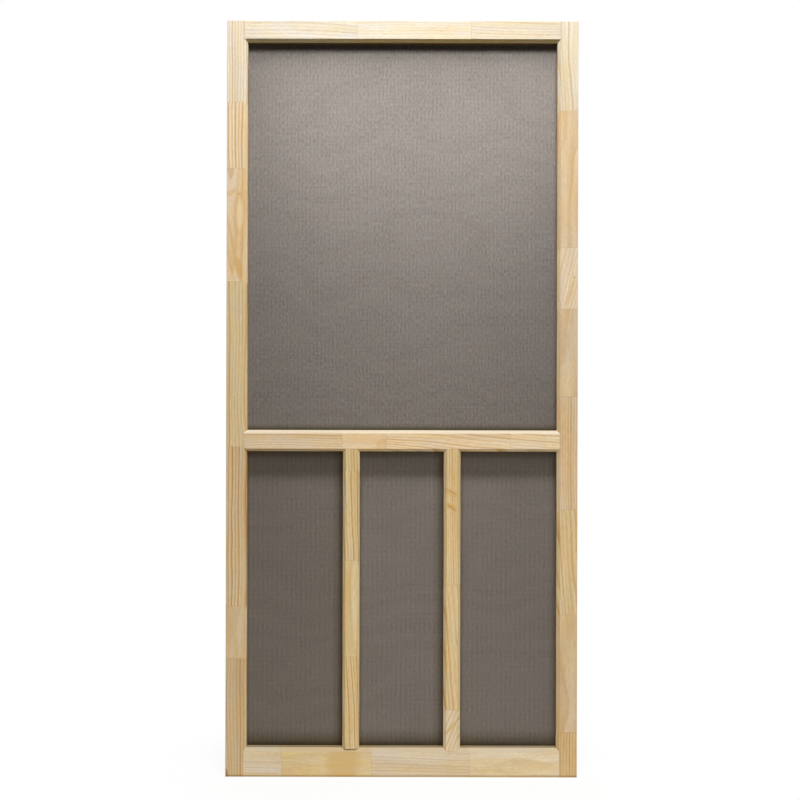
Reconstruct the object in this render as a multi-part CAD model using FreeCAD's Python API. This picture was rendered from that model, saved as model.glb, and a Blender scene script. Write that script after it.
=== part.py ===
# A wooden screen door leaf, seen from its front face in the photo.
# X runs across the door from the hinge edge, Y runs through it from the front to the back,
# and Z runs up from its foot. Lengths are in millimetres.

import os

import FreeCAD
import Part
from FreeCAD import Vector

# The leaf
DOOR_WIDTH = 920.75
DOOR_HEIGHT = 1981.2
DOOR_THICKNESS = 28.6

# The frame members, each measured across its face from edge to edge
STILE_WIDTH = 53.5
TOP_RAIL_WIDTH = 55.0
MIDDLE_RAIL_WIDTH = 55.0
BOTTOM_RAIL_WIDTH = 74.0
MULLION_WIDTH = 44.0
MIDDLE_RAIL_CENTRE = 880.0
MULLION_SPACING = 265.0

# The moulded edges
CHAMFER = 7.5
EDGE_ROUND = 1.5

# The screen's seat, behind the front face
SCREEN_DEPTH = 20.0
SCREEN_THICKNESS = 0.5
GROOVE_LAND = 3.5
GROOVE_DEPTH = 5.0
GROOVE_WALL = 2.5
SPLINE_DIAMETER = 3.8
SPLINE_CLEARANCE = 0.1

# The mortise and tenon joints
TENON_THICKNESS = 9.5
TENON_LENGTH = 32.0
MULLION_TENON_LENGTH = 22.0
TENON_SHOULDER = 2.0
TENON_HAUNCH = 12.0
MORTISE_CLEARANCE = 0.15
MORTISE_END_ROOM = 1.5

# Places that follow from the sizes
front_y = -DOOR_THICKNESS / 2
back_y = DOOR_THICKNESS / 2
ledge_y = front_y + SCREEN_DEPTH
spline_radius = SPLINE_DIAMETER / 2
groove_width = SPLINE_DIAMETER + 2 * SCREEN_THICKNESS + 2 * SPLINE_CLEARANCE
groove_reach = GROOVE_LAND + groove_width
rebate_width = groove_reach + GROOVE_WALL
moulding_width = max(CHAMFER, rebate_width)
tenon_inset = rebate_width + TENON_SHOULDER

opening_left = STILE_WIDTH
opening_right = DOOR_WIDTH - STILE_WIDTH
top_rail_low = DOOR_HEIGHT - TOP_RAIL_WIDTH
middle_rail_low = MIDDLE_RAIL_CENTRE - MIDDLE_RAIL_WIDTH / 2
middle_rail_high = MIDDLE_RAIL_CENTRE + MIDDLE_RAIL_WIDTH / 2
left_mullion_centre = DOOR_WIDTH / 2 - MULLION_SPACING / 2
right_mullion_centre = DOOR_WIDTH / 2 + MULLION_SPACING / 2


def box(x0, x1, y0, y1, z0, z1):
    """A block between two corners."""
    return Part.makeBox(x1 - x0, y1 - y0, z1 - z0, Vector(x0, y0, z0))


def inner_edge(width):
    """The moulded edge towards a screen: chamfer in front, ledge and rebate behind."""
    return [
        (width - CHAMFER, front_y),
        (width, front_y + CHAMFER),
        (width, ledge_y),
        (width - rebate_width, ledge_y),
        (width - rebate_width, back_y),
    ]


def outer_edge():
    """The plain edge on the door's outside."""
    return [(0, back_y), (0, front_y)]


def facing_edge(width):
    """The moulded edge on the other side of a member that has a screen on both."""
    return [(width - across, through) for across, through in reversed(inner_edge(width))]


def moulding(first_edge, last_edge, place, run):
    """Extrude a member's section along its run. place sets the section's points in the door."""
    corners = [place(across, through) for across, through in first_edge + last_edge]
    wire = Part.makePolygon(corners + corners[:1])
    bar = Part.Face(wire).extrude(run)
    if bar.Volume < 0:
        bar.reverse()
    return bar


def ease(bar):
    """Round the long edges and sawn ends that lie on the door's outside."""
    low = Vector(0, front_y, 0)
    high = Vector(DOOR_WIDTH, back_y, DOOR_HEIGHT)

    def on_outside(edge):
        points = [vertex.Point for vertex in edge.Vertexes]
        flush = all(min(abs(p.y - low.y), abs(p.y - high.y)) < 0.001 for p in points)
        sides = [
            all(abs(p.x - low.x) < 0.001 for p in points),
            all(abs(p.x - high.x) < 0.001 for p in points),
            all(abs(p.z - low.z) < 0.001 for p in points),
            all(abs(p.z - high.z) < 0.001 for p in points),
        ]
        return flush and any(sides) and abs(points[0].y - points[-1].y) < 0.001

    return bar.makeFillet(EDGE_ROUND, [edge for edge in bar.Edges if on_outside(edge)])


# Stiles run the full height, rails run between them, and mullions between two rails.
up = Vector(0, 0, DOOR_HEIGHT)
left_stile = moulding(
    outer_edge(),
    inner_edge(STILE_WIDTH),
    lambda across, through: Vector(across, through, 0),
    up,
)
right_stile = moulding(
    outer_edge(),
    inner_edge(STILE_WIDTH),
    lambda across, through: Vector(DOOR_WIDTH - across, through, 0),
    up,
)

rail_start = opening_left - moulding_width
rail_run = Vector(opening_right + moulding_width - rail_start, 0, 0)
top_rail = moulding(
    outer_edge(),
    inner_edge(TOP_RAIL_WIDTH),
    lambda across, through: Vector(rail_start, through, DOOR_HEIGHT - across),
    rail_run,
)
middle_rail = moulding(
    facing_edge(MIDDLE_RAIL_WIDTH),
    inner_edge(MIDDLE_RAIL_WIDTH),
    lambda across, through: Vector(rail_start, through, middle_rail_low + across),
    rail_run,
)
bottom_rail = moulding(
    outer_edge(),
    inner_edge(BOTTOM_RAIL_WIDTH),
    lambda across, through: Vector(rail_start, through, across),
    rail_run,
)

mullion_start = BOTTOM_RAIL_WIDTH - moulding_width
mullion_run = Vector(0, 0, middle_rail_low + moulding_width - mullion_start)


def mullion(centre):
    """An upright between two of the lower screens."""
    return moulding(
        facing_edge(MULLION_WIDTH),
        inner_edge(MULLION_WIDTH),
        lambda across, through: Vector(centre - MULLION_WIDTH / 2 + across, through, mullion_start),
        mullion_run,
    )


left_mullion = mullion(left_mullion_centre)
right_mullion = mullion(right_mullion_centre)

# Each end is coped: it takes the shape of the moulded edge that it meets.
# Only the left mullion's foot is cut square in front, and stands on the rail's edge.
mullion_ends = [middle_rail, bottom_rail]
square_foot = box(
    left_mullion_centre - MULLION_WIDTH / 2,
    left_mullion_centre + MULLION_WIDTH / 2,
    front_y,
    ledge_y,
    mullion_start,
    BOTTOM_RAIL_WIDTH,
)
left_mullion = left_mullion.cut(mullion_ends + [square_foot])
right_mullion = right_mullion.cut(mullion_ends)
rail_ends = [left_stile, right_stile]
top_rail = ease(top_rail).cut(rail_ends)
middle_rail = middle_rail.cut(rail_ends)
bottom_rail = ease(bottom_rail).cut(rail_ends)
left_stile = ease(left_stile)
right_stile = ease(right_stile)

# Tenons on the rails enter the stiles, and tenons on the mullions enter the rails.
cheek = TENON_THICKNESS / 2
slot = cheek + MORTISE_CLEARANCE
mortise_length = TENON_LENGTH + MORTISE_END_ROOM
mullion_mortise_length = MULLION_TENON_LENGTH + MORTISE_END_ROOM


def rail_joints(rail, low, high):
    """Add a rail's two tenons, and return it with the mortises for the left and right stile."""
    left = box(opening_left - TENON_LENGTH, opening_left + cheek, -cheek, cheek, low, high)
    right = box(opening_right - cheek, opening_right + TENON_LENGTH, -cheek, cheek, low, high)
    below = low - MORTISE_CLEARANCE
    above = high + MORTISE_CLEARANCE
    left_mortise = box(opening_left - mortise_length, opening_left, -slot, slot, below, above)
    right_mortise = box(opening_right, opening_right + mortise_length, -slot, slot, below, above)
    return rail.fuse([left, right]).removeSplitter(), left_mortise, right_mortise


def mullion_joints(upright, centre):
    """Add a mullion's two tenons, and return it with the mortises for the rails below and above."""
    half = MULLION_WIDTH / 2 - tenon_inset
    wide = half + MORTISE_CLEARANCE
    foot = BOTTOM_RAIL_WIDTH
    head = middle_rail_low
    low = box(centre - half, centre + half, -cheek, cheek, foot - MULLION_TENON_LENGTH, foot + cheek)
    high = box(centre - half, centre + half, -cheek, cheek, head - cheek, head + MULLION_TENON_LENGTH)
    low_mortise = box(centre - wide, centre + wide, -slot, slot, foot - mullion_mortise_length, foot)
    high_mortise = box(centre - wide, centre + wide, -slot, slot, head, head + mullion_mortise_length)
    return upright.fuse([low, high]).removeSplitter(), low_mortise, high_mortise


top_rail, top_left, top_right = rail_joints(
    top_rail, top_rail_low + tenon_inset, DOOR_HEIGHT - TENON_HAUNCH
)
middle_rail, middle_left, middle_right = rail_joints(
    middle_rail, middle_rail_low + tenon_inset, middle_rail_high - tenon_inset
)
bottom_rail, bottom_left, bottom_right = rail_joints(
    bottom_rail, TENON_HAUNCH, BOTTOM_RAIL_WIDTH - tenon_inset
)
left_mullion, left_foot, left_head = mullion_joints(left_mullion, left_mullion_centre)
right_mullion, right_foot, right_head = mullion_joints(right_mullion, right_mullion_centre)

left_stile = left_stile.cut([top_left, middle_left, bottom_left])
right_stile = right_stile.cut([top_right, middle_right, bottom_right])
middle_rail = middle_rail.cut([left_head, right_head])
bottom_rail = bottom_rail.cut([left_foot, right_foot])

# One opening above the middle rail and three below it, as left, right, low and high edges
openings = {
    "upper": (opening_left, opening_right, middle_rail_high, top_rail_low),
    "lower_left": (
        opening_left,
        left_mullion_centre - MULLION_WIDTH / 2,
        BOTTOM_RAIL_WIDTH,
        middle_rail_low,
    ),
    "lower_middle": (
        left_mullion_centre + MULLION_WIDTH / 2,
        right_mullion_centre - MULLION_WIDTH / 2,
        BOTTOM_RAIL_WIDTH,
        middle_rail_low,
    ),
    "lower_right": (
        right_mullion_centre + MULLION_WIDTH / 2,
        opening_right,
        BOTTOM_RAIL_WIDTH,
        middle_rail_low,
    ),
}


def around(opening, reach, y0, y1):
    """A block over an opening that reaches past each of its edges."""
    left, right, low, high = opening
    return box(left - reach, right + reach, y0, y1, low - reach, high + reach)


def groove(opening):
    """The spline groove, a loop in the ledge around one opening."""
    floor_y = ledge_y - GROOVE_DEPTH
    loop = around(opening, groove_reach, floor_y, ledge_y)
    return loop.cut(around(opening, GROOVE_LAND, floor_y, ledge_y))


def screen(opening):
    """The screen cloth: flat on the ledge, with its edges lining the groove under the spline."""
    floor_y = ledge_y - GROOVE_DEPTH
    sheet = around(opening, GROOVE_LAND + SCREEN_THICKNESS, ledge_y, ledge_y + SCREEN_THICKNESS)
    bed_y = floor_y + SCREEN_THICKNESS
    lining = groove(opening)
    channel = around(opening, groove_reach - SCREEN_THICKNESS, bed_y, ledge_y)
    channel = channel.cut(around(opening, GROOVE_LAND + SCREEN_THICKNESS, bed_y, ledge_y))
    return sheet.fuse(lining.cut(channel)).removeSplitter()


def splines(opening):
    """Four lengths of vinyl cord in the groove: the uprights run past the ends of the others."""
    left, right, low, high = opening
    middle = GROOVE_LAND + groove_width / 2
    through = ledge_y - GROOVE_DEPTH + SCREEN_THICKNESS + spline_radius
    end = middle + spline_radius
    tall = high - low + 2 * end
    start = left - middle + spline_radius + SPLINE_CLEARANCE
    wide = right - left + 2 * (left - start)
    return {
        "left": Part.makeCylinder(
            spline_radius, tall, Vector(left - middle, through, low - end), Vector(0, 0, 1)
        ),
        "right": Part.makeCylinder(
            spline_radius, tall, Vector(right + middle, through, low - end), Vector(0, 0, 1)
        ),
        "top": Part.makeCylinder(
            spline_radius, wide, Vector(start, through, high + middle), Vector(1, 0, 0)
        ),
        "bottom": Part.makeCylinder(
            spline_radius, wide, Vector(start, through, low - middle), Vector(1, 0, 0)
        ),
    }


grooves = [groove(opening) for opening in openings.values()]
pieces = {
    "left_stile": left_stile.cut(grooves),
    "right_stile": right_stile.cut(grooves),
    "top_rail": top_rail.cut(grooves),
    "middle_rail": middle_rail.cut(grooves),
    "bottom_rail": bottom_rail.cut(grooves),
    "left_mullion": left_mullion.cut(grooves),
    "right_mullion": right_mullion.cut(grooves),
}
for name, opening in openings.items():
    pieces[name + "_screen"] = screen(opening)
    for side, cord in splines(opening).items():
        pieces[name + "_spline_" + side] = cord

os.makedirs("parts", exist_ok=True)
for name, shape in pieces.items():
    solids = shape.Solids
    if len(solids) != 1 or not shape.isValid():
        raise ValueError(name + " should be one valid solid")
    solids[0].exportStep("parts/" + name + ".step")
    print(name, round(solids[0].Volume), "mm3", len(solids[0].Faces), "faces")
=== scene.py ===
# %% [markdown]
# # A wooden screen door
# The door is a bare leaf of finger-jointed pine: two stiles, three rails and two mullions, with
# insect screen in its four openings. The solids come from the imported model, in metres, and this
# script gives them their finish, weaves the screens, and sets the light and the camera.

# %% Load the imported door
import math

import bpy
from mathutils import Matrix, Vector


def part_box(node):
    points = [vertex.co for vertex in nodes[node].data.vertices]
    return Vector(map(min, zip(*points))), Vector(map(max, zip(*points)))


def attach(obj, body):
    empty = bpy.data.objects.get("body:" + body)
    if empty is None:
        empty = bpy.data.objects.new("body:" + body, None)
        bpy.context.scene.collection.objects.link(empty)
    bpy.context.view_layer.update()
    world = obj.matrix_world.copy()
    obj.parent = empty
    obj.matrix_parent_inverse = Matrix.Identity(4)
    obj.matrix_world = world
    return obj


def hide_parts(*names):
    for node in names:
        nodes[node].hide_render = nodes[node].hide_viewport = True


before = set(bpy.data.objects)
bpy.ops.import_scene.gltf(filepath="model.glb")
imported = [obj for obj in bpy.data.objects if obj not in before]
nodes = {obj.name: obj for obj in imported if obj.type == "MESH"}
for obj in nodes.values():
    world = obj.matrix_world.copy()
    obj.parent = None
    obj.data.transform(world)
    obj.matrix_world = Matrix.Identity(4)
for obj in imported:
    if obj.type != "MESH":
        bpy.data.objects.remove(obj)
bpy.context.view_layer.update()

# %% [markdown]
# ## Where things are
# The openings and the front face are read from the solids, so the dressed door follows them.
# Each screen's solid already lies on its ledge and turns down into the spline groove behind it.

# %% Read the openings from the frame members
left_stile, right_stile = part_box("left_stile"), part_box("right_stile")
top_rail, middle_rail, bottom_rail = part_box("top_rail"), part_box("middle_rail"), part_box("bottom_rail")
left_mullion, right_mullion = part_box("left_mullion"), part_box("right_mullion")
front_y = left_stile[0].y
door_width, door_height = right_stile[1].x, left_stile[1].z
middle_x = door_width / 2

upper_span = (middle_rail[1].z, top_rail[0].z)
lower_span = (bottom_rail[1].z, middle_rail[0].z)
OPENINGS = {
    "upper": (left_stile[1].x, right_stile[0].x, *upper_span),
    "lower_left": (left_stile[1].x, left_mullion[0].x, *lower_span),
    "lower_middle": (left_mullion[1].x, right_mullion[0].x, *lower_span),
    "lower_right": (right_mullion[1].x, right_stile[0].x, *lower_span),
}
for name, edges in OPENINGS.items():
    print(name, [round(edge, 4) for edge in edges])

# %% [markdown]
# ## Small helpers for node trees
# Every finish below is a node tree. `put` adds a node and feeds its inputs from plain values or
# from other nodes, so a tree can be written down in the order in which it is read.


# %% Helpers for nodes
def feed(tree, socket, value):
    """Join a socket to another one, or set it to a plain value."""
    if isinstance(value, bpy.types.NodeSocket):
        tree.links.new(value, socket)
    elif value is not None:
        socket.default_value = value


def put(tree, kind, inputs=(), **settings):
    """Add a node, set its properties, then feed its inputs by name or by position."""
    made = tree.nodes.new(kind)
    for name, value in settings.items():
        setattr(made, name, value)
    pairs = inputs.items() if isinstance(inputs, dict) else enumerate(inputs)
    for key, value in pairs:
        feed(tree, made.inputs[key], value)
    return made


def maths(tree, operation, *terms):
    """One Math node, as a socket."""
    return put(tree, "ShaderNodeMath", terms, operation=operation).outputs[0]


def stretch(tree, vector, amounts):
    """A vector, scaled along each axis."""
    return put(tree, "ShaderNodeVectorMath", [vector, amounts], operation="MULTIPLY").outputs[0]


def slope(tree, value, low, high, start=0.0, end=1.0):
    """A smooth slope from start to end, while a value goes from low to high."""
    inputs = {"Value": value, "From Min": low, "From Max": high, "To Min": start, "To Max": end}
    return put(tree, "ShaderNodeMapRange", inputs, interpolation_type="SMOOTHSTEP").outputs[0]


def noise(tree, vector, detail=2.0, scale=1.0):
    """A noise texture's node."""
    return put(tree, "ShaderNodeTexNoise", {"Vector": vector, "Scale": scale, "Detail": detail})


def blend(tree, share, first, second, mode="MIX"):
    """Mix two colours."""
    made = put(tree, "ShaderNodeMix", data_type="RGBA", blend_type=mode)
    for index, value in ((0, share), (6, first), (7, second)):
        feed(tree, made.inputs[index], value)
    return made.outputs[2]


def shared_group(name, inputs, outputs):
    """A new shader node group with named sockets."""
    tree = bpy.data.node_groups.new(name, "ShaderNodeTree")
    for label, kind in inputs:
        tree.interface.new_socket(name=label, in_out="INPUT", socket_type="NodeSocket" + kind)
    for label, kind in outputs:
        tree.interface.new_socket(name=label, in_out="OUTPUT", socket_type="NodeSocket" + kind)
    return tree, tree.nodes.new("NodeGroupInput").outputs, tree.nodes.new("NodeGroupOutput").inputs


def place_group(tree, group, inputs):
    """Place a shared group in a material."""
    made = put(tree, "ShaderNodeGroup", node_tree=group)
    for key, value in inputs.items():
        feed(tree, made.inputs[key], value)
    return made.outputs


def colour(red, green, blue):
    """A colour as it looks on screen, from 0 to 255, in the linear values that nodes take."""
    parts = [part / 255 for part in (red, green, blue)]
    return [p / 12.92 if p <= 0.04045 else ((p + 0.055) / 1.055) ** 2.4 for p in parts] + [1.0]


def material(name):
    """A new material with one Principled shader."""
    made = bpy.data.materials.new(name)
    made.use_nodes = True
    return made, made.node_tree, made.node_tree.nodes["Principled BSDF"].inputs


# %% [markdown]
# ## Pine
# A board is cut from a log, and its figure is where the log's rings cross its faces. So the rings
# are made in space, as tubes around a pith that lies off the board and leans a little: then faces,
# edges and sawn ends agree. A painted pattern would be simpler, but it would not turn the corners.

# %% The log's pith, rings and tones
PITH_REACH = 0.2
LEAN_REACH = 0.4
TRUNK_WANDER = 0.024
RING_WIDTH = 0.0058
RING_WIDTH_SPREAD = 0.003
RING_START = 9.0
RING_WAVER = 1.6
LATE_WOOD, RESIN = colour(214, 179, 124), colour(128, 84, 44)
DEEP_WOOD = colour(240, 224, 192)
COOL_WOOD, WARM_WOOD = colour(250, 252, 255), colour(255, 250, 234)
DEEP_SHARE, FIBRE_DEPTH, MOTTLE_DEPTH, FLECK_SHARE = 0.55, 0.24, 0.24, 0.2
# How fine each kind of unevenness is, across the grain, behind it and along it
GRAIN_STRETCH = {
    "trunk": (8.0, 8.0, 2.6),
    "fibre": (620.0, 620.0, 11.0),
    "fleck": (700.0, 700.0, 45.0),
    "deep": (30.0, 30.0, 3.0),
    "warm": (50.0, 50.0, 9.0),
    "mottle": (300.0, 300.0, 80.0),
}
print("ring width:", RING_WIDTH, "to", RING_WIDTH + RING_WIDTH_SPREAD)


# %% The pine figure, shared by every board
def pine_figure():
    """Rings, fibres and resin flecks of one block of pine, in the block's own grain space."""
    tree, given, out = shared_group(
        "pine_figure",
        [
            ("Grain", "Vector"),
            ("Block", "Float"),
            ("Tint", "Color"),
            ("Rings", "Float"),
            ("Pith", "Color"),
            ("Lean", "Float"),
        ],
        [("Color", "Color"), ("Roughness", "Float"), ("Height", "Float")],
    )
    drawn = put(tree, "ShaderNodeTexWhiteNoise", {"W": given["Block"]}, noise_dimensions="1D")
    lots = drawn.outputs["Color"]
    lot = put(tree, "ShaderNodeSeparateColor", [lots]).outputs
    own = put(tree, "ShaderNodeVectorMath", [given["Grain"], lots], operation="ADD").outputs[0]

    def uneven(kind, detail=2.0):
        return noise(tree, stretch(tree, own, GRAIN_STRETCH[kind]), detail).outputs

    # The trunk wanders slowly along its length
    drift = put(tree, "ShaderNodeSeparateColor", [uneven("trunk")["Color"]]).outputs

    # Where this point lies across from the pith, and behind it
    pith = put(tree, "ShaderNodeSeparateColor", [given["Pith"]]).outputs
    place = put(tree, "ShaderNodeSeparateXYZ", [given["Grain"]]).outputs
    sides = []
    for axis, lean in ((0, pith[2]), (1, given["Lean"])):
        away = maths(tree, "SUBTRACT", pith[axis], 0.5)
        away = maths(tree, "MULTIPLY_ADD", away, 2 * PITH_REACH, place[axis])
        lean = maths(tree, "MULTIPLY", maths(tree, "SUBTRACT", lean, 0.5), 2 * LEAN_REACH)
        away = maths(tree, "MULTIPLY_ADD", place[2], lean, away)
        away = maths(tree, "MULTIPLY_ADD", drift[axis], TRUNK_WANDER, away)
        sides.append(maths(tree, "MULTIPLY", away, away))
    reach = maths(tree, "SQRT", maths(tree, "ADD", *sides))

    # Count the rings out to here: pale early wood, then a brown line of late wood
    width = maths(tree, "MULTIPLY_ADD", lot[0], RING_WIDTH_SPREAD, RING_WIDTH)
    rings = maths(tree, "MULTIPLY_ADD", lot[1], RING_START, maths(tree, "DIVIDE", reach, width))
    rings = maths(tree, "MULTIPLY_ADD", drift[2], RING_WAVER, rings)
    number = maths(tree, "FLOOR", rings)
    year = put(tree, "ShaderNodeTexWhiteNoise", {"W": number}, noise_dimensions="1D")
    strong = maths(tree, "MULTIPLY_ADD", year.outputs["Value"], 0.75, 0.25)
    part = maths(tree, "FRACT", rings)
    late = maths(tree, "MULTIPLY", slope(tree, part, 0.1, 0.88), slope(tree, part, 1.0, 0.9))
    strong = maths(tree, "MULTIPLY", strong, given["Rings"])
    late = maths(tree, "MULTIPLY", maths(tree, "POWER", late, 1.6), strong)

    # Broad changes of tone, fibres along the grain, fine mottle, and short flecks of resin
    fibre, mottle = uneven("fibre")["Fac"], uneven("mottle", 1.0)["Fac"]
    fleck = slope(tree, uneven("fleck", 0.0)["Fac"], 0.7, 0.8)
    deep = slope(tree, uneven("deep", 3.0)["Fac"], 0.35, 0.75)
    warm = slope(tree, uneven("warm")["Fac"], 0.3, 0.7)

    deep = maths(tree, "MULTIPLY", deep, DEEP_SHARE)
    wood = blend(tree, deep, given["Tint"], DEEP_WOOD, "MULTIPLY")
    warmth = blend(tree, warm, COOL_WOOD, WARM_WOOD)
    wood = blend(tree, 1.0, wood, warmth, "MULTIPLY")
    wood = blend(tree, late, wood, LATE_WOOD, "MULTIPLY")
    streak = maths(tree, "MULTIPLY_ADD", fibre, FIBRE_DEPTH, 1 - FIBRE_DEPTH / 2)
    mottle = maths(tree, "SUBTRACT", mottle, 0.5)
    streak = maths(tree, "MULTIPLY_ADD", mottle, MOTTLE_DEPTH, streak)
    streaks = put(tree, "ShaderNodeCombineColor", [streak] * 3).outputs[0]
    wood = blend(tree, 1.0, wood, streaks, "MULTIPLY")
    wood = blend(tree, maths(tree, "MULTIPLY", fleck, FLECK_SHARE), wood, RESIN)
    feed(tree, out["Color"], wood)
    rough = maths(tree, "MULTIPLY_ADD", fibre, 0.18, 0.5)
    feed(tree, out["Roughness"], maths(tree, "MULTIPLY_ADD", late, -0.08, rough))
    feed(tree, out["Height"], maths(tree, "MULTIPLY_ADD", late, 0.5, fibre))
    print("pine_figure:", len(tree.nodes), "nodes")
    return tree


PINE_FIGURE = pine_figure()

# %% [markdown]
# ## Finger joints
# The stock is short blocks glued end to end. The fingers are cut through the thickness, so a joint
# is a straight line across a face and a zigzag down an edge. Each joint that is passed adds one to
# the block's number and moves the middle to the next block's. The number picks the tint and the cut.

# %% One finger joint, as a shared group
FINGER_LENGTH = 0.011
FINGER_PITCH = 0.0072
GLUE_LINE = 0.0003
GLUE, GLUE_SHARE = colour(150, 112, 66), 0.5


def finger_joint():
    """Counts up past one joint, and draws its glue line."""
    tree, given, out = shared_group(
        "finger_joint",
        [
            ("Along", "Float"),
            ("Joint", "Float"),
            ("Next middle", "Float"),
            ("Block", "Float"),
            ("Middle", "Float"),
            ("Line", "Float"),
        ],
        [("Block", "Float"), ("Middle", "Float"), ("Line", "Float")],
    )
    past = maths(tree, "GREATER_THAN", given["Along"], given["Joint"])
    feed(tree, out["Block"], maths(tree, "ADD", given["Block"], past))
    jump = maths(tree, "SUBTRACT", given["Next middle"], given["Middle"])
    feed(tree, out["Middle"], maths(tree, "MULTIPLY_ADD", jump, past, given["Middle"]))
    near = maths(tree, "COMPARE", given["Along"], given["Joint"], GLUE_LINE)
    feed(tree, out["Line"], maths(tree, "MAXIMUM", given["Line"], near))
    print("finger_joint:", len(tree.nodes), "nodes")
    return tree


FINGER_JOINT = finger_joint()

# %% [markdown]
# ## The boards
# The blocks run from nearly white sapwood at the top to honey and rose further down. A block is
# named by its tint and by its cut, which says where the log's pith lay from it: beside it for
# straight stripes, behind it for a plain face, crossing it for flames or slanting streaks.

# %% Tints, cuts and blocks
TINTS = {
    "white": colour(229, 225, 217),
    "milk": colour(229, 219, 201),
    "cream": colour(226, 217, 203),
    "butter": colour(230, 212, 184),
    "oat": colour(221, 209, 186),
    "flax": colour(213, 201, 181),
    "amber": colour(225, 202, 169),
    "rose": colour(218, 199, 172),
    "straw": colour(215, 196, 159),
    "tan": colour(213, 195, 157),
    "honey": colour(209, 186, 149),
    "sand": colour(209, 190, 160),
    "dusk": colour(203, 183, 151),
}
# Pith across and behind, lean across and behind, and the strength of the rings
CUTS = {
    "straight": (0.075, 0.05, 0.008, 0.0, 1.0),
    "fine": (0.13, 0.01, 0.006, 0.0, 0.85),
    "faint": (0.1, 0.03, 0.014, 0.0, 0.4),
    "plain": (0.012, 0.16, 0.0, 0.01, 0.4),
    "flame": (0.004, 0.03, 0.012, 0.05, 0.45),
    "slant": (-0.06, 0.05, 0.09, 0.0, 0.7),
    "bold": (-0.07, 0.03, 0.05, 0.0, 1.05),
    "steep": (0.03, 0.045, -0.17, 0.03, 0.42),
    "rising": (0.05, 0.045, -0.38, 0.03, 0.55),
}
# Each board: the axis of its grain, its lot, and its joints and blocks from the foot or hinge edge on
BOARDS = {
    "left_stile": (
        "z",
        3.0,
        [0.312, 0.449, 0.867, 1.299, 1.596, 1.769],
        [
            "dusk fine",
            "sand plain",
            "sand straight",
            "straw fine",
            "amber flame",
            "butter straight",
            "cream fine",
        ],
    ),
    "right_stile": (
        "z",
        21.0,
        [0.121, 0.429, 0.703, 1.0, 1.23, 1.39, 1.748],
        [
            "honey fine",
            "sand plain",
            "straw slant",
            "rose fine",
            "rose plain",
            "butter steep",
            "amber plain",
            "milk slant",
        ],
    ),
    "top_rail": ("x", 43.0, [0.343, 0.642], ["white faint", "milk faint", "cream faint"]),
    "middle_rail": (
        "x",
        61.0,
        [0.306, 0.421, 0.746],
        ["rose fine", "amber plain", "butter slant", "butter slant"],
    ),
    "bottom_rail": (
        "x",
        83.0,
        [0.149, 0.385, 0.641],
        ["flax faint", "tan plain", "flax faint", "oat plain"],
    ),
    "left_mullion": (
        "z",
        101.0,
        [0.317, 0.569, 0.804],
        ["tan bold", "tan plain", "tan bold", "tan straight"],
    ),
    "right_mullion": ("z", 127.0, [0.179, 0.506], ["oat rising", "straw slant", "straw fine"]),
}
print("boards:", len(BOARDS), "tints:", len(TINTS), "cuts:", len(CUTS))

# %% [markdown]
# ## Knots and stains
# A few blocks show more than rings: a flame where a branch began, thin spike knots, a stain, and a
# dark corner at the foot with a dark line along the outer edge above it. Each could be carved into
# the rings, but a soft oval laid at a slope on the face is simpler, looks the same from a step away,
# and stays put when the rings change.

# %% Marks on the faces
SPIKE, STAIN, CORNER = colour(178, 134, 70), colour(196, 158, 92), colour(122, 84, 44)
FLAME, HEART = colour(204, 164, 102), colour(228, 203, 162)
# Each mark: middle across and up, half length and half width, slope in degrees, tone and strength
MARKS = {
    "left_stile": [
        (0.0100, 1.5290, 0.022, 0.0080, 35, FLAME, 0.5),
        (0.0316, 1.5270, 0.006, 0.0030, 10, SPIKE, 0.5),
        (0.0335, 1.4760, 0.062, 0.0170, 89, FLAME, 0.45),
        (0.0345, 1.4730, 0.048, 0.0100, 89, HEART, 0.8),
        (0.0120, 1.4126, 0.066, 0.0042, -80, FLAME, 0.5),
        (0.0417, 1.3961, 0.048, 0.0036, 86, FLAME, 0.45),
        (0.0325, 1.3330, 0.034, 0.0108, -78, FLAME, 0.8),
        (0.0020, 0.0080, 0.016, 0.0060, 90, CORNER, 0.6),
        (0.0000, 0.1600, 0.170, 0.0038, 90, CORNER, 0.3),
    ],
    "right_stile": [
        (0.9000, 1.2690, 0.042, 0.0070, 72, FLAME, 0.4),
        (0.9110, 1.3100, 0.006, 0.0035, 0, STAIN, 0.5),
    ],
    "right_mullion": [
        (0.5905, 0.7430, 0.020, 0.0075, -28, STAIN, 0.55),
        (0.5909, 0.7484, 0.020, 0.0026, -28, SPIKE, 0.65),
        (0.5905, 0.7090, 0.017, 0.0085, -30, STAIN, 0.65),
        (0.5925, 0.7050, 0.020, 0.0032, -38, SPIKE, 0.65),
        (0.5930, 0.7900, 0.030, 0.0050, -72, STAIN, 0.4),
        (0.5890, 0.1290, 0.026, 0.0055, 52, STAIN, 0.6),
    ],
    "bottom_rail": [(0.3090, 0.0370, 0.055, 0.050, 60, STAIN, 0.5)],
}


def marked(tree, place, wood, marks):
    """Knots and stains, each a soft oval that lies at a slope on the face."""
    for across, up, length, width, angle, tone, strength in marks:
        turn = math.radians(angle)
        away = [maths(tree, "SUBTRACT", place[0], across), maths(tree, "SUBTRACT", place[2], up)]
        along = maths(tree, "MULTIPLY", away[0], math.cos(turn) / length)
        along = maths(tree, "MULTIPLY_ADD", away[1], math.sin(turn) / length, along)
        aside = maths(tree, "MULTIPLY", away[0], -math.sin(turn) / width)
        aside = maths(tree, "MULTIPLY_ADD", away[1], math.cos(turn) / width, aside)
        reach = maths(tree, "MULTIPLY_ADD", along, along, maths(tree, "MULTIPLY", aside, aside))
        wood = blend(tree, slope(tree, reach, 0.2, 1.2, strength, 0.0), wood, tone)
    return wood


print("marks:", sum(len(marks) for marks in MARKS.values()))
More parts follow.
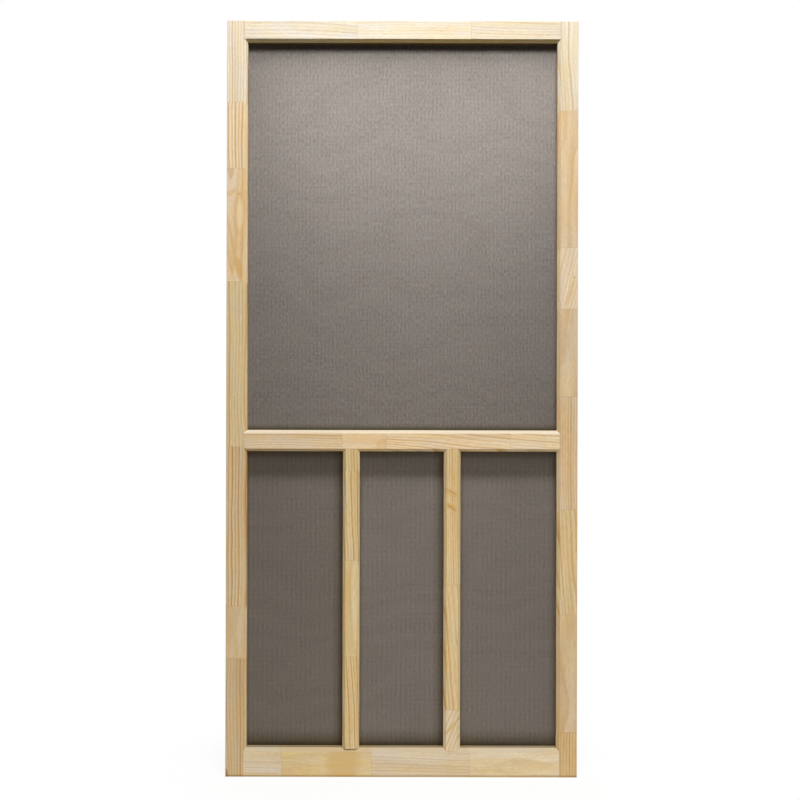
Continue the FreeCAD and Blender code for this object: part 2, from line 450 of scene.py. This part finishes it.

# %% [markdown]
# ## Painted shade on walls and faces
# Between the chamfer and the screen, each opening has square walls. Painted shade dims them, more
# than these lamps do, greys the faces that look up, browns those that look down, and darkens the
# foot's edge. The shoulders of the rails and mullions show as thin dark lines. All of it is set in
# the colour, from where a point lies and which way its face looks, so it holds from any side.

# %% Shoulders, and painted shade on walls and faces
CHAMFER_DEPTH = 0.0075
SHOULDER_LINE = 0.0007
level_shoulders = [left_stile[1].x - CHAMFER_DEPTH, right_stile[0].x + CHAMFER_DEPTH]
upright_shoulders = [lower_span[1] + CHAMFER_DEPTH, lower_span[0] - CHAMFER_DEPTH]
SHOULDER_TONE, SHOULDER_SHARE = colour(104, 72, 36), 0.55
# Painted shade on the walls of the openings, dimmer low on the door
LOW_WALL_SHADE, HIGH_WALL_SHADE = colour(170, 158, 128), colour(226, 218, 204)
# Painted shade on walls that look right, up or down: axis, way and tone
WALL_TURN_SHADES = [
    (0, 1, colour(235, 232, 222)),
    (2, 1, colour(205, 200, 185)),
    (2, -1, colour(126, 106, 66)),
]
# Painted warm shade on faces that look down, warmer high on the door
HIGH_UNDERSIDE_SHADE, LOW_UNDERSIDE_SHADE = colour(252, 244, 200), colour(255, 255, 246)
# Painted shade on faces that look up: greyer, and darker low on the door
HIGH_UP_SHADE, LOW_UP_SHADE = colour(206, 197, 180), colour(164, 149, 124)
UP_SHADE_SHARE = 0.6
# The heights between which the low tone turns into the high one
UP_SHADE_RISE, UNDERSIDE_SHADE_RISE, WALL_SHADE_RISE = (0.1, 0.8), (1.0, 1.8), (1.0, 1.7)
# Painted shade along the foot's rounded edge
FOOT_SHADE = colour(214, 200, 168)
FOOT_SHADE_TOP, FOOT_SHADE_END = 0.008, 0.003
WALL_BLEND = 0.003
OUTER_EDGE = 0.003
SHEET_THICKNESS = 0.0005
ledge_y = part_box("upper_screen")[1].y - SHEET_THICKNESS


def opening_wall(tree, place):
    """A mask for the square walls between chamfer and screen."""
    start = front_y + CHAMFER_DEPTH
    before = maths(tree, "LESS_THAN", place[1], ledge_y)
    wall = maths(tree, "MULTIPLY", slope(tree, place[1], start, start + WALL_BLEND), before)
    for value, middle in ((place[0], middle_x), (place[2], door_height / 2)):
        off = maths(tree, "ABSOLUTE", maths(tree, "SUBTRACT", value, middle))
        wall = maths(tree, "MULTIPLY", wall, maths(tree, "LESS_THAN", off, middle - OUTER_EDGE))
    return wall


def facing(tree, normal, axis, way):
    """A mask for the faces that look one way along an axis."""
    return slope(tree, normal[axis], 0.3 * way, 0.65 * way)


def shaded(tree, place, run, wood, shoulders):
    """Lines at the shoulders, and painted shade on tops, undersides, the foot and the walls."""
    for shoulder in shoulders:
        line = maths(tree, "COMPARE", run, shoulder, SHOULDER_LINE)
        wood = blend(tree, maths(tree, "MULTIPLY", line, SHOULDER_SHARE), wood, SHOULDER_TONE)
    geometry = put(tree, "ShaderNodeNewGeometry").outputs
    normal = put(tree, "ShaderNodeSeparateXYZ", [geometry["Normal"]]).outputs
    # Painted shade: faces that look up turn greyer, most low on the door
    dust_and_shade = blend(tree, slope(tree, place[2], *UP_SHADE_RISE), LOW_UP_SHADE, HIGH_UP_SHADE)
    wood = blend(tree, maths(tree, "MULTIPLY", facing(tree, normal, 2, 1), UP_SHADE_SHARE), wood, dust_and_shade)
    # Painted warm shade on faces that look down
    under_shade = blend(tree, slope(tree, place[2], *UNDERSIDE_SHADE_RISE), LOW_UNDERSIDE_SHADE, HIGH_UNDERSIDE_SHADE)
    wood = blend(tree, facing(tree, normal, 2, -1), wood, under_shade, "MULTIPLY")
    # Painted shade along the foot's edge
    foot_shade = slope(tree, place[2], FOOT_SHADE_TOP, FOOT_SHADE_END)
    wood = blend(tree, foot_shade, wood, FOOT_SHADE, "MULTIPLY")
    # Painted shade on the walls of the openings
    shade = blend(tree, slope(tree, place[2], *WALL_SHADE_RISE), LOW_WALL_SHADE, HIGH_WALL_SHADE)
    for axis, way, tone in WALL_TURN_SHADES:
        shade = blend(tree, facing(tree, normal, axis, way), shade, tone)
    return blend(tree, opening_wall(tree, place), wood, shade, "MULTIPLY")


print("shoulders at", [round(place, 4) for place in level_shoulders + upright_shoulders])

# %% A material for each board
GRAIN_RELIEF = 0.0003


def stepped_ramp(tree, share, colours):
    """A colour ramp with one even, flat step for each colour."""
    made = put(tree, "ShaderNodeValToRGB", [share])
    ramp = made.color_ramp
    ramp.interpolation = "CONSTANT"
    ramp.elements.remove(ramp.elements[1])
    ramp.elements[0].color = colours[0]
    for index in range(1, len(colours)):
        ramp.elements.new(index / len(colours)).color = colours[index]
    return made.outputs


def pine_board(name, axis, seed, joints, blocks):
    """Pine for one board: grain along its length, blocks between its joints."""
    made, tree, shader = material("pine_" + name)
    low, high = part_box(name)
    spot = put(tree, "ShaderNodeTexCoord").outputs["Object"]
    place = put(tree, "ShaderNodeSeparateXYZ", [spot]).outputs
    wide, run = (0, 2) if axis == "z" else (2, 0)

    folded = maths(tree, "PINGPONG", maths(tree, "ADD", place[1], 1.0), FINGER_PITCH / 2)
    along = maths(tree, "MULTIPLY_ADD", folded, 2 * FINGER_LENGTH / FINGER_PITCH, place[run])
    ends = [low[run], *joints, high[run]]
    middles = [(start + end) / 2 for start, end in zip(ends, ends[1:])]
    counted = {"Block": 0.0, "Middle": middles[0], "Line": 0.0}
    for joint, middle in zip(joints, middles[1:]):
        inputs = {"Along": along, "Joint": joint, "Next middle": middle}
        inputs.update({key: counted[key] for key in ("Block", "Middle", "Line")})
        counted = place_group(tree, FINGER_JOINT, inputs)

    share = maths(tree, "DIVIDE", maths(tree, "ADD", counted["Block"], 0.5), float(len(blocks)))
    tints, cuts = [], []
    for block in blocks:
        tint, cut = block.split()
        across, behind, lean, lean_behind, rings = CUTS[cut]
        tints.append(TINTS[tint][:3] + [rings])
        reaches = [(across, PITH_REACH), (-behind, PITH_REACH)]
        reaches += [(lean, LEAN_REACH), (lean_behind, LEAN_REACH)]
        cuts.append([0.5 + value / (2 * reach) for value, reach in reaches])
    tinted, cut = stepped_ramp(tree, share, tints), stepped_ramp(tree, share, cuts)

    across = maths(tree, "SUBTRACT", place[wide], (low[wide] + high[wide]) / 2)
    from_middle = maths(tree, "SUBTRACT", place[run], counted["Middle"])
    grain = put(tree, "ShaderNodeCombineXYZ", [across, place[1], from_middle]).outputs[0]
    inputs = {
        "Grain": grain,
        "Block": maths(tree, "ADD", counted["Block"], seed),
        "Tint": tinted["Color"],
        "Rings": tinted["Alpha"],
        "Pith": cut["Color"],
        "Lean": cut["Alpha"],
    }
    wood = place_group(tree, PINE_FIGURE, inputs)
    glued = blend(tree, maths(tree, "MULTIPLY", counted["Line"], GLUE_SHARE), wood["Color"], GLUE)
    glued = marked(tree, place, glued, MARKS.get(name, []))
    shoulders = level_shoulders if axis == "x" else []
    if name.endswith("mullion"):
        shoulders = upright_shoulders
    feed(tree, shader["Base Color"], shaded(tree, place, place[run], glued, shoulders))
    feed(tree, shader["Roughness"], wood["Roughness"])
    relief = {"Strength": 0.25, "Distance": GRAIN_RELIEF, "Height": wood["Height"]}
    bump = put(tree, "ShaderNodeBump", relief)
    feed(tree, shader["Normal"], bump.outputs["Normal"])
    shader["Specular IOR Level"].default_value = 0.2
    return made


# %% Dress the boards
for name, (axis, seed, joints, blocks) in BOARDS.items():
    nodes[name].data.materials.clear()
    nodes[name].data.materials.append(pine_board(name, axis, seed, joints, blocks))
    print(name, "blocks:", len(blocks))

# %% [markdown]
# ## Spline
# Behind the door, a soft black cord is rolled into a groove round each screen. It is ribbed so that
# it grips, so its material has fine rings along the cord and a dull, slightly dusty surface.

# %% The spline's vinyl
SIDES = ("left", "right", "top", "bottom")
RIB_PITCH, RIB_RELIEF = 0.0012, 0.0002
VINYL, VINYL_DUST = colour(34, 34, 34), colour(58, 56, 53)


def spline_vinyl(name, axis):
    """Black foamed vinyl with grip ribs across the cord."""
    made, tree, shader = material(name)
    spot = put(tree, "ShaderNodeTexCoord").outputs["Object"]
    run = put(tree, "ShaderNodeSeparateXYZ", [spot]).outputs[axis]
    ribs = maths(tree, "SINE", maths(tree, "MULTIPLY", run, 2 * math.pi / RIB_PITCH))
    dust_and_shade = noise(tree, spot, 4.0, 90.0).outputs["Fac"]
    feed(tree, shader["Base Color"], blend(tree, slope(tree, dust_and_shade, 0.4, 0.75), VINYL, VINYL_DUST))
    feed(tree, shader["Roughness"], maths(tree, "MULTIPLY_ADD", dust_and_shade, 0.25, 0.5))
    bump = put(tree, "ShaderNodeBump", {"Strength": 0.5, "Distance": RIB_RELIEF, "Height": ribs})
    feed(tree, shader["Normal"], bump.outputs["Normal"])
    return made


level_vinyl = spline_vinyl("spline_vinyl_level", "X")
upright_vinyl = spline_vinyl("spline_vinyl_upright", "Z")
for opening in OPENINGS:
    for side in SIDES:
        cord = nodes[f"{opening}_spline_{side}"]
        cord.data.materials.clear()
        cord.data.materials.append(upright_vinyl if side in ("left", "right") else level_vinyl)
print("spline lengths:", len(SIDES) * len(OPENINGS))

# %% [markdown]
# ## Screen cloth
# Insect screen is a plain weave of coated glass yarn, eighteen strands to the inch one way and
# sixteen the other. From a few steps away the strands run together into an even grey-brown, and
# it looks almost closed. So each screen is two pieces: a thin dim sheet behind the strands, which
# stands for the shade seen through the mesh and turns down into the groove, and the strands
# themselves, woven by Geometry Nodes.

# %% [markdown]
# ## Watered tone
# A fine mesh shimmers, because its strands fall in and out of step with the eye: faint hatching that
# comes and goes, and broad level bands. It could be left to chance, but then it changes with every
# picture size. So a small pattern in the colour stands in for it, shared by the dim sheet and the yarn.

# %% The watered tone of a fine weave
# The pitch of the hatch, and how strong the grit is
HATCHES = {"upper": (0.0101, 0.85), "lower": (0.0126, 0.45)}
# For upright and level lines: the axis they step along, their depth, and the stretch of their patches
HATCH_LINES = ((0, 0.085, (26.0, 26.0, 34.0)), (2, 0.035, (31.0, 31.0, 31.0)))
HATCH_BEND = 4.0
BAND_RATE, BAND_BEND, BAND_DEPTH = 60.0, 30.0, 0.022
GRIT_STRETCH = (330.0, 330.0, 105.0)
COLOUR_DRIFT = 0.08


def watered_tone():
    """The shimmer of a fine mesh: a small cross-hatch that comes and goes, and broad level bands."""
    inputs = [("Place", "Vector"), ("Pitch", "Float"), ("Grit", "Float")]
    tree, given, out = shared_group("watered_tone", inputs, [("Tone", "Color")])
    place = put(tree, "ShaderNodeSeparateXYZ", [given["Place"]]).outputs
    tone = 1.0
    for axis, depth, patch in HATCH_LINES:
        waver = noise(tree, stretch(tree, given["Place"], patch), 1.0)
        bent = put(tree, "ShaderNodeSeparateColor", [waver.outputs["Color"]]).outputs
        turns = maths(tree, "MULTIPLY", place[axis], 2 * math.pi)
        lines = maths(tree, "DIVIDE", turns, given["Pitch"])
        lines = maths(tree, "SINE", maths(tree, "MULTIPLY_ADD", bent[0], HATCH_BEND, lines))
        strength = slope(tree, bent[1], 0.35, 0.65)
        tone = maths(tree, "MULTIPLY_ADD", maths(tree, "MULTIPLY", lines, strength), depth, tone)
    swell = noise(tree, stretch(tree, given["Place"], (3.0, 3.0, 5.0)), 1.0).outputs["Fac"]
    bands = maths(tree, "MULTIPLY", place[2], BAND_RATE)
    bands = maths(tree, "SINE", maths(tree, "MULTIPLY_ADD", swell, BAND_BEND, bands))
    tone = maths(tree, "MULTIPLY_ADD", bands, BAND_DEPTH, tone)
    grit = noise(tree, stretch(tree, given["Place"], GRIT_STRETCH), 1.0).outputs["Fac"]
    tone = maths(tree, "MULTIPLY_ADD", maths(tree, "SUBTRACT", grit, 0.5), given["Grit"], tone)
    drift = maths(tree, "SUBTRACT", noise(tree, given["Place"], 2.0, 60.0).outputs["Fac"], 0.5)
    amounts = (COLOUR_DRIFT, 0.0, -COLOUR_DRIFT)
    parts = [maths(tree, "MULTIPLY_ADD", drift, amount, tone) for amount in amounts]
    feed(tree, out["Tone"], put(tree, "ShaderNodeCombineColor", parts).outputs[0])
    print("watered_tone:", len(tree.nodes), "nodes")
    return tree


WATERED_TONE = watered_tone()

# %% [markdown]
# ## Dark margins
# In the photo each screen darkens toward the wood round it, most along the bottom and beside the
# mullions. That is shade, with some dust. The lamps give a part of it. The rest is set in the
# screen's colour, by how far a point lies from the edge, so it stays in any light. It is brown, so
# blue falls off faster than red.

# %% The margins of a screen
# How dark and how wide the margin is along each edge
BESIDE_MULLION = {
    "right": (0.54, 0.032),
    "left": (0.3, 0.008),
    "low": (0.86, 0.045),
    "high": (0.5, 0.022),
}
MARGINS = {
    "upper": {"right": (0.16, 0.01), "left": (0.08, 0.008), "low": (0.86, 0.016)},
    "lower_left": BESIDE_MULLION,
    "lower_middle": BESIDE_MULLION,
    "lower_right": {**BESIDE_MULLION, "right": (0.36, 0.016)},
}
# How fast red, green and blue fall off in the margins
MARGIN_FALL = (1.05, 1.18, 1.55)
# Painted shade: the lower left screen is a little darker than the others
SCREEN_SHADES = {"lower_left": 0.92}


def toned(tree, base, opening):
    """A colour, lightened and darkened by the watered tone, and dimmed toward the edges by painted shade.
    """
    spot = put(tree, "ShaderNodeTexCoord").outputs["Object"]
    pitch, grit = HATCHES[opening.split("_")[0]]
    watered = place_group(tree, WATERED_TONE, {"Place": spot, "Pitch": pitch, "Grit": grit})["Tone"]
    tone = SCREEN_SHADES.get(opening, 1.0)
    place = put(tree, "ShaderNodeSeparateXYZ", [spot]).outputs
    left, right, low, high = OPENINGS[opening]
    edges = {"right": (0, right, -1), "left": (0, left, 1), "low": (2, low, 1), "high": (2, high, -1)}
    for side, (depth, reach) in MARGINS[opening].items():
        axis, edge, way = edges[side]
        gone = maths(tree, "MULTIPLY_ADD", place[axis], way / reach, -edge * way / reach)
        gone = maths(tree, "SQRT", put(tree, "ShaderNodeClamp", [gone]).outputs[0])
        tone = maths(tree, "MULTIPLY", tone, maths(tree, "MULTIPLY_ADD", gone, depth, 1 - depth))
    base = blend(tree, 1.0, base, watered, "MULTIPLY")
    margin = [maths(tree, "POWER", tone, fall) for fall in MARGIN_FALL]
    return blend(tree, 1.0, base, put(tree, "ShaderNodeCombineColor", margin).outputs[0], "MULTIPLY")


print("margins:", {opening: len(edges) for opening, edges in MARGINS.items()})

# %% The dim sheet behind the strands
TURN = 0.0003
LAND = 0.0035
# Painted shade: the tone of the shade seen through the mesh
SHADE_SHEET_TONE = colour(101, 96, 91)


def screen_ground_material(opening):
    """A dim sheet standing for the shade seen between the strands."""
    made, tree, shader = material("screen_ground_" + opening)
    feed(tree, shader["Base Color"], toned(tree, SHADE_SHEET_TONE, opening))
    shader["Roughness"].default_value = 0.8
    shader["Specular IOR Level"].default_value = 0.0
    return made


def screen_ground(opening, finish):
    """A stretched sheet over one opening, with its edge turned down into the groove."""
    left, right, low, high = OPENINGS[opening]
    near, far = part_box(opening + "_screen")
    ledge, floor = far.y - TURN, near.y + TURN
    reach = left - near.x
    rings = [(LAND, ledge), (LAND + TURN, floor), (reach - TURN, floor), (reach - TURN, ledge)]
    points, faces = [], [(0, 1, 2, 3)]
    for out, depth in rings:
        x0, x1, z0, z1 = left - out, right + out, low - out, high + out
        points += [(x0, depth, z0), (x1, depth, z0), (x1, depth, z1), (x0, depth, z1)]
    for ring in range(len(rings) - 1):
        for corner in range(4):
            a, b = 4 * ring + corner, 4 * ring + (corner + 1) % 4
            faces.append((b, a, a + 4, b + 4))
    mesh = bpy.data.meshes.new(opening + "_screen_ground")
    mesh.from_pydata(points, [], faces)
    mesh.materials.append(finish)
    piece = bpy.data.objects.new(mesh.name, mesh)
    bpy.context.scene.collection.objects.link(piece)
    turned = 2 * (reach + 2 * (ledge - floor))
    return piece, (right - left + turned, high - low + turned)


# %% [markdown]
# ## Weaving
# A line of points is laid along one side of an opening, and a straight strand is set on each point.
# Two such rows, one upright and one level, make the net. Each strand also carries a random number,
# because no two strands take the light quite alike, and that gives the cloth its fine streaks.

# %% The weaving tree
WARP_PITCH = 0.0254 / 18
WEFT_PITCH = 0.0254 / 16
STRAND = 0.00034
STRAND_SIDES = 6


def weaving():
    """Geometry nodes that lay warp and weft strands over an opening."""
    tree = bpy.data.node_groups.new("weave_screen", "GeometryNodeTree")
    sizes = {
        "Corner": "Vector",
        "Width": "Float",
        "Height": "Float",
        "Warp pitch": "Float",
        "Weft pitch": "Float",
        "Strand": "Float",
        "Seed": "Int",
        "Yarn": "Material",
    }
    for label, kind in sizes.items():
        tree.interface.new_socket(name=label, in_out="INPUT", socket_type="NodeSocket" + kind)
    tree.interface.new_socket(name="Geometry", in_out="OUTPUT", socket_type="NodeSocketGeometry")
    given = tree.nodes.new("NodeGroupInput").outputs
    out = tree.nodes.new("NodeGroupOutput").inputs
    radius = maths(tree, "MULTIPLY", given["Strand"], 0.5)
    joined = put(tree, "GeometryNodeJoinGeometry")
    for span, length, pitch, step, reach in (
        ("Width", "Height", "Warp pitch", "X", "Z"),
        ("Height", "Width", "Weft pitch", "Z", "X"),
    ):
        gaps = maths(tree, "FLOOR", maths(tree, "DIVIDE", given[span], given[pitch]))
        count = maths(tree, "ADD", gaps, 1.0)
        offset = put(tree, "ShaderNodeCombineXYZ", {step: given[pitch]}).outputs[0]
        inputs = {"Count": count, "Start Location": given["Corner"], "Offset": offset}
        row = put(tree, "GeometryNodeMeshLine", inputs).outputs[0]
        end = put(tree, "ShaderNodeCombineXYZ", {reach: given[length]}).outputs[0]
        core = put(tree, "GeometryNodeCurvePrimitiveLine", {"End": end}).outputs[0]
        inputs = {"Resolution": STRAND_SIDES, "Radius": radius}
        ring = put(tree, "GeometryNodeCurvePrimitiveCircle", inputs).outputs[0]
        inputs = {"Curve": core, "Profile Curve": ring, "Fill Caps": True}
        strand = put(tree, "GeometryNodeCurveToMesh", inputs).outputs[0]
        laid = put(tree, "GeometryNodeInstanceOnPoints", {"Points": row, "Instance": strand}).outputs[0]
        lot = put(tree, "FunctionNodeRandomValue", {"Seed": given["Seed"]}, data_type="FLOAT")
        lot = next(socket for socket in lot.outputs if socket.enabled)
        kept = put(
            tree,
            "GeometryNodeStoreNamedAttribute",
            {"Geometry": laid, "Name": "strand_lot", "Value": lot},
            data_type="FLOAT",
            domain="INSTANCE",
        )
        tree.links.new(kept.outputs[0], joined.inputs[0])
    real = put(tree, "GeometryNodeRealizeInstances", [joined.outputs[0]]).outputs[0]
    smooth = put(tree, "GeometryNodeSetShadeSmooth", [real]).outputs[0]
    dressed = put(tree, "GeometryNodeSetMaterial", {"Geometry": smooth, "Material": given["Yarn"]})
    feed(tree, out["Geometry"], dressed.outputs[0])
    print("weave_screen:", len(tree.nodes), "nodes")
    return tree


WEAVE = weaving()

# %% The yarn's finish, and one woven screen
YARN_TONES = colour(139, 132, 127), colour(145, 138, 132)
LAP = 0.0033


def yarn_material(opening):
    """Matte grey-brown coating, a little different on each strand."""
    made, tree, shader = material("screen_yarn_" + opening)
    lot = put(tree, "ShaderNodeAttribute", attribute_name="strand_lot").outputs["Fac"]
    base = blend(tree, lot, *YARN_TONES)
    feed(tree, shader["Base Color"], toned(tree, base, opening))
    shader["Roughness"].default_value = 0.6
    shader["Specular IOR Level"].default_value = 0.02
    return made


def woven(opening, seed, yarn):
    """The strands of one screen, as a plain mesh."""
    left, right, low, high = OPENINGS[opening]
    piece = bpy.data.objects.new(opening + "_screen_strands", bpy.data.meshes.new("loom"))
    bpy.context.scene.collection.objects.link(piece)
    weave = piece.modifiers.new("weave", "NODES")
    weave.node_group = WEAVE
    sizes = {
        "Corner": (left - LAP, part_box(opening + "_screen")[1].y - TURN, low - LAP),
        "Width": right - left + 2 * LAP,
        "Height": high - low + 2 * LAP,
        "Warp pitch": WARP_PITCH,
        "Weft pitch": WEFT_PITCH,
        "Strand": STRAND,
        "Seed": seed,
        "Yarn": yarn,
    }
    for item in WEAVE.interface.items_tree:
        if item.in_out == "INPUT":
            weave[item.identifier] = sizes[item.name]
    bpy.context.view_layer.update()
    graph = bpy.context.evaluated_depsgraph_get()
    mesh = bpy.data.meshes.new_from_object(piece.evaluated_get(graph))
    piece.modifiers.clear()
    piece.data = mesh
    print(piece.name, len(mesh.polygons), "faces")
    return piece


# %% Fit the four screens
FIRST_SEED = 11
screens = []
for number, opening in enumerate(OPENINGS):
    sheet, cut = screen_ground(opening, screen_ground_material(opening))
    strands = woven(opening, FIRST_SEED + number, yarn_material(opening))
    screens += [sheet, strands]
    for piece in (sheet, strands):
        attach(piece, "root")
    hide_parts(opening + "_screen")
    print(opening, "cloth cut", [round(side, 4) for side in cut])

# %% [markdown]
# ## Studio
# The photo is a bare leaf on white. The floor glows white, so there is no horizon, and keeps only a
# trace of shadow near the door. Wood and screens are lit apart, because one lamp can't give both
# their tone. A key lamp high in front lights the wood most at the top, and a warm fill lifts the foot.
# The screens have a near lamp over the top rail, which throws the rail's shadow on them and fades
# downward, and a high one that reaches the lower screens. A soft side sun shows the chamfers.

# %% Floor
FLOOR_REACH = 0.65
FLOOR_GREY = (0.8, 0.8, 0.8, 1)
SHADOW_REACH = 0.3
SHADOW_SHARE = 0.15
BOUNCE = 0.7
WHITE, WARM = (1.0, 1.0, 1.0), (1.0, 0.91, 0.77)


def seen_directly(tree):
    """A mask for what is looked at, straight or by reflection, and not for the light it gives."""
    path = put(tree, "ShaderNodeLightPath").outputs
    seen = maths(tree, "MAXIMUM", path["Is Camera Ray"], path["Is Glossy Ray"])
    return maths(tree, "MAXIMUM", seen, path["Is Transmission Ray"])


corners = [(-1, -1), (1, -1), (1, 1), (-1, 1)]
points = [(middle_x + (middle_x + FLOOR_REACH) * x, FLOOR_REACH * y, 0) for x, y in corners]
floor_mesh = bpy.data.meshes.new("floor")
floor_mesh.from_pydata(points, [], [(0, 1, 2, 3)])
floor = bpy.data.objects.new("floor", floor_mesh)
bpy.context.scene.collection.objects.link(floor)
finish, tree, shader = material("floor")
shader["Base Color"].default_value = FLOOR_GREY
shader["Roughness"].default_value = 0.9
spot = put(tree, "ShaderNodeTexCoord").outputs["Object"]
place = put(tree, "ShaderNodeSeparateXYZ", [spot]).outputs
aside = maths(tree, "ABSOLUTE", maths(tree, "SUBTRACT", place[0], middle_x))
aside = maths(tree, "MAXIMUM", maths(tree, "SUBTRACT", aside, middle_x), 0.0)
ahead = maths(tree, "MULTIPLY", place[1], place[1])
away = maths(tree, "SQRT", maths(tree, "MULTIPLY_ADD", aside, aside, ahead))
shown = slope(tree, away, 0.0, SHADOW_REACH, SHADOW_SHARE, 0.0)
glow = blend(tree, seen_directly(tree), [BOUNCE * part for part in WARM] + [1], (*WHITE, 1))
white = put(tree, "ShaderNodeEmission", {"Color": glow}).outputs[0]
plain = tree.nodes["Principled BSDF"].outputs[0]
mixed = put(tree, "ShaderNodeMixShader", [shown, white, plain]).outputs[0]
feed(tree, tree.nodes["Material Output"].inputs["Surface"], mixed)
floor_mesh.materials.append(finish)
print("floor corners:", [[round(part, 3) for part in point] for point in points])

# %% Sky
SKY_BEFORE, SKY_BEHIND = 0.04, 0.95
world = bpy.data.worlds.new("sky")
bpy.context.scene.world = world
world.use_nodes = True
sky = world.node_tree
way = put(sky, "ShaderNodeTexCoord").outputs["Generated"]
toward = put(sky, "ShaderNodeSeparateXYZ", [way]).outputs
glow = slope(sky, toward[1], 0.0, 0.7, SKY_BEFORE, SKY_BEHIND)
white = maths(sky, "MULTIPLY_ADD", maths(sky, "SUBTRACT", 1.0, glow), seen_directly(sky), glow)
feed(sky, sky.nodes["Background"].inputs["Strength"], white)
sky.nodes["Background"].inputs["Color"].default_value = (*WHITE, 1)
print("sky:", len(sky.nodes), "nodes")

# %% Lamps
SCREEN_LAMP_SPREAD = math.radians(52)
SUN_STRENGTH, SUN_ANGLE = 0.94, math.radians(20)
SUN_TOWARD = Vector((-1, 1, -1.41))


def lamp(name, place, aim, size, power, tint, lights):
    """An unseen soft lamp, aimed at a height on the door, that lights some pieces only."""
    data = bpy.data.lights.new(name, "AREA")
    data.shape = "RECTANGLE"
    data.size, data.size_y = size
    data.energy = power
    data.color = tint
    made = bpy.data.objects.new(name, data)
    bpy.context.scene.collection.objects.link(made)
    made.location = place
    target = Vector((place[0], 0, aim))
    made.rotation_euler = (target - Vector(place)).to_track_quat("-Z", "Y").to_euler()
    made.visible_camera = False
    made.light_linking.receiver_collection = bpy.data.collections.new(name + "_lights")
    for piece in lights:
        made.light_linking.receiver_collection.objects.link(piece)
    return data


solid = [floor] + [nodes[name] for name in nodes if not name.endswith("screen")]
lamp(
    "key",
    place=(middle_x, front_y - 1.8, 4.0),
    aim=1.0,
    size=(1.2, 0.8),
    power=126.5,
    tint=WHITE,
    lights=solid,
)
lamp(
    "fill",
    place=(middle_x + 0.1, front_y - 1.0, 0.6),
    aim=0.3,
    size=(1.2, 0.5),
    power=4.3,
    tint=WARM,
    lights=solid + screens,
)
near_lamp = lamp(
    "screen_lamp",
    place=(middle_x + 0.045, front_y - 0.35, 2.38),
    aim=1.49,
    size=(0.97, 0.15),
    power=5.45,
    tint=WHITE,
    lights=screens,
)
near_lamp.spread = SCREEN_LAMP_SPREAD
lamp(
    "high_lamp",
    place=(middle_x, front_y - 1.0, 4.6),
    aim=0.9,
    size=(1.2, 0.3),
    power=106.0,
    tint=WHITE,
    lights=screens,
)
sun = bpy.data.lights.new("side", "SUN")
sun.energy, sun.angle = SUN_STRENGTH, SUN_ANGLE
side_sun = bpy.data.objects.new("side", sun)
bpy.context.scene.collection.objects.link(side_sun)
side_sun.rotation_euler = SUN_TOWARD.to_track_quat("-Z", "Y").to_euler()
print("lamps:", [data.name for data in bpy.data.lights])

# %% [markdown]
# ## Camera
# The photo has no keystone, so the camera looks level, and its lens is shifted a little to frame the
# door. It stands about two metres off, near enough for the rails' inner walls to show as there, and it
# is rolled by a fraction of a degree, because the door leans by that much in the photo.

# %% Camera
FRAME = 800
PIXELS_PER_METRE = 381.9
DOOR_CENTRE_PIXEL = (402.05, 398.95)
DISTANCE = 2.1
SHIFT = -0.05
ROLL = math.radians(0.14)
camera = bpy.data.objects.new("camera", bpy.data.cameras.new("camera"))
bpy.context.scene.collection.objects.link(camera)
bpy.context.scene.camera = camera
camera.data.lens = PIXELS_PER_METRE * camera.data.sensor_width / FRAME * DISTANCE
camera.data.shift_y = SHIFT
aside = (DOOR_CENTRE_PIXEL[0] - FRAME / 2) / PIXELS_PER_METRE
above = (DOOR_CENTRE_PIXEL[1] - FRAME / 2 - SHIFT * FRAME) / PIXELS_PER_METRE
camera.location = (middle_x - aside, front_y - DISTANCE, door_height / 2 + above)
camera.rotation_euler = (math.pi / 2, -ROLL, 0)
bpy.context.scene.view_settings.view_transform = "Standard"
print("camera at", [round(part, 3) for part in camera.location])
